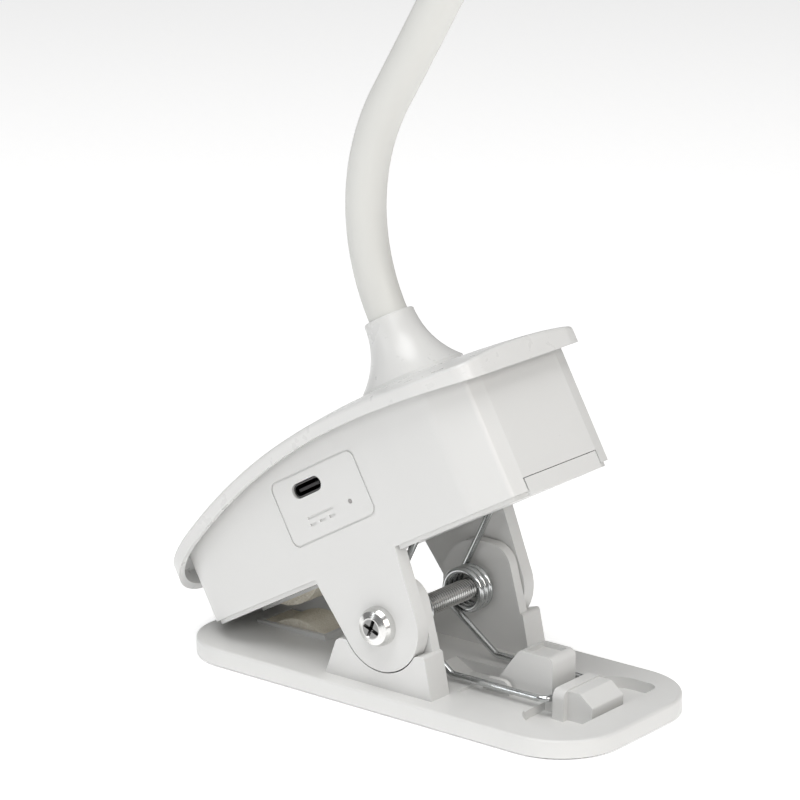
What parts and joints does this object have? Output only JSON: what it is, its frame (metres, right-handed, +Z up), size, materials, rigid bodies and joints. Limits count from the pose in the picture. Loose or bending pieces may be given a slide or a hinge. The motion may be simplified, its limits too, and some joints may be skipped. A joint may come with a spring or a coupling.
{
  "type": "clip on reading lamp",
  "caption": "Clip-on reading lamp: sprung two-jaw clip with battery housing, USB-C charging, gooseneck arm and a slim LED head.",
  "frame": {"origin": "centre of the base's underside, where it rests", "axes": "+X along the base towards the squeeze tails (jaw tips at -X), +Y along the pivot screw towards its nut, +Z up"},
  "size_m": [0.2306, 0.052, 0.2768],
  "materials": {
    "white_abs": "glossy",
    "sole_rubber": "matte",
    "pad_rubber": "matte, sandy grain",
    "spring_steel": "bright nickel",
    "zinc_thread": "zinc plated",
    "small_screws": "zinc plated",
    "touch_icon": "glossy",
    "circuit_green": "solder mask",
    "port_metal": "nickel plated",
    "port_black": "matte",
    "clear_pipe": "clear",
    "cell_wrap": null,
    "neck_steel": "brushed",
    "neck_sleeve": "satin silicone",
    "opal_panel": "opal",
    "plate_aluminium": "satin",
    "led_board_white": "white solder mask",
    "led_package": "phosphor"
  },
  "bodies": {
    "base": {"base_plate": "white_abs", "base_sole": "sole_rubber", "lower_jaw_pad": "pad_rubber", "torsion_spring": "spring_steel"},
    "upper_jaw": {"battery_cell": "cell_wrap", "belly_cover": "white_abs", "belly_screw_1": "small_screws", "belly_screw_2": "small_screws", "belly_screw_3": "small_screws", "belly_screw_4": "small_screws", "board_screw_1": "small_screws", "board_screw_2": "small_screws", "circuit_board": "circuit_green", "gooseneck_core_0": "neck_steel", "gooseneck_ferrule": "port_metal", "gooseneck_nut": "port_metal", "gooseneck_sleeve_0": "neck_sleeve", "housing_shell": "white_abs", "pivot_nut": "zinc_thread", "pivot_screw": "zinc_thread", "status_light": "clear_pipe", "top_lid": "white_abs", "touch_pad": "touch_icon", "touch_spring": "spring_steel", "upper_jaw_pad": "pad_rubber", "usb_c_shell": "port_metal", "usb_c_tongue": "port_black"},
    "gooseneck_link_1": {"gooseneck_core_1": "neck_steel", "gooseneck_sleeve_1": "neck_sleeve"},
    "gooseneck_link_2": {"gooseneck_core_2": "neck_steel", "gooseneck_sleeve_2": "neck_sleeve"},
    "gooseneck_link_3": {"gooseneck_core_3": "neck_steel", "gooseneck_sleeve_3": "neck_sleeve"},
    "gooseneck_link_4": {"gooseneck_core_4": "neck_steel", "gooseneck_sleeve_4": "neck_sleeve"},
    "gooseneck_link_5": {"gooseneck_core_5": "neck_steel", "gooseneck_sleeve_5": "neck_sleeve"},
    "gooseneck_link_6": {"gooseneck_core_6": "neck_steel", "gooseneck_sleeve_6": "neck_sleeve"},
    "gooseneck_link_7": {"gooseneck_core_7": "neck_steel", "gooseneck_sleeve_7": "neck_sleeve"},
    "gooseneck_link_8": {"gooseneck_core_8": "neck_steel", "gooseneck_sleeve_8": "neck_sleeve"},
    "lamp_head": {"head_back_shell": "white_abs", "head_bezel": "white_abs", "head_diffuser": "opal_panel", "head_heat_plate": "plate_aluminium", "head_led_board": "led_board_white", "head_leds": "led_package", "head_screw_1": "small_screws", "head_screw_2": "small_screws", "head_socket": "port_metal"}
  },
  "joints": [
    {"name": "jaw_hinge", "type": "hinge", "parent": "base", "child": "upper_jaw", "pos_m": [0.00106, 0, 0.01936], "axis": [0, 1, 0], "range_deg": [0, 38], "stiffness_Nm_per_rad": 0.6, "springref_deg": -57.3, "deforming": ["torsion_spring"]},
    {"name": "gooseneck_bend_1", "type": "hinge", "parent": "upper_jaw", "child": "gooseneck_link_1", "pos_m": [-0.02035, 0, 0.10961], "axis": [0, 1, 0], "range_deg": [-20, 20]},
    {"name": "gooseneck_sway_2", "type": "hinge", "parent": "gooseneck_link_1", "child": "gooseneck_link_2", "pos_m": [-0.01321, 0, 0.13471], "axis": [0.8572, 0, -0.515], "range_deg": [-20, 20]},
    {"name": "gooseneck_bend_3", "type": "hinge", "parent": "gooseneck_link_2", "child": "gooseneck_link_3", "pos_m": [-0.00162, 0, 0.15399], "axis": [0, -1, 0], "range_deg": [-20, 20]},
    {"name": "gooseneck_sway_4", "type": "hinge", "parent": "gooseneck_link_3", "child": "gooseneck_link_4", "pos_m": [0.00997, 0, 0.17328], "axis": [-0.8572, 0, 0.515], "range_deg": [-20, 20]},
    {"name": "gooseneck_bend_5", "type": "hinge", "parent": "gooseneck_link_4", "child": "gooseneck_link_5", "pos_m": [0.01893, 0, 0.2002], "axis": [0, 1, 0], "range_deg": [-20, 20]},
    {"name": "gooseneck_sway_6", "type": "hinge", "parent": "gooseneck_link_5", "child": "gooseneck_link_6", "pos_m": [0.01556, 0, 0.22837], "axis": [0.9431, 0, 0.3325], "range_deg": [-20, 20]},
    {"name": "gooseneck_bend_7", "type": "hinge", "parent": "gooseneck_link_6", "child": "gooseneck_link_7", "pos_m": [0.00052, 0, 0.25242], "axis": [0, -1, 0], "range_deg": [-20, 20]},
    {"name": "gooseneck_sway_8", "type": "hinge", "parent": "gooseneck_link_7", "child": "gooseneck_link_8", "pos_m": [-0.02334, 0, 0.26778], "axis": [-0.3446, 0, -0.9387], "range_deg": [-20, 20]},
    {"name": "head_tilt", "type": "hinge", "parent": "gooseneck_link_8", "child": "lamp_head", "pos_m": [-0.05146, 0, 0.27151], "axis": [0, 1, 0], "range_deg": [-20, 20]}
  ]
}
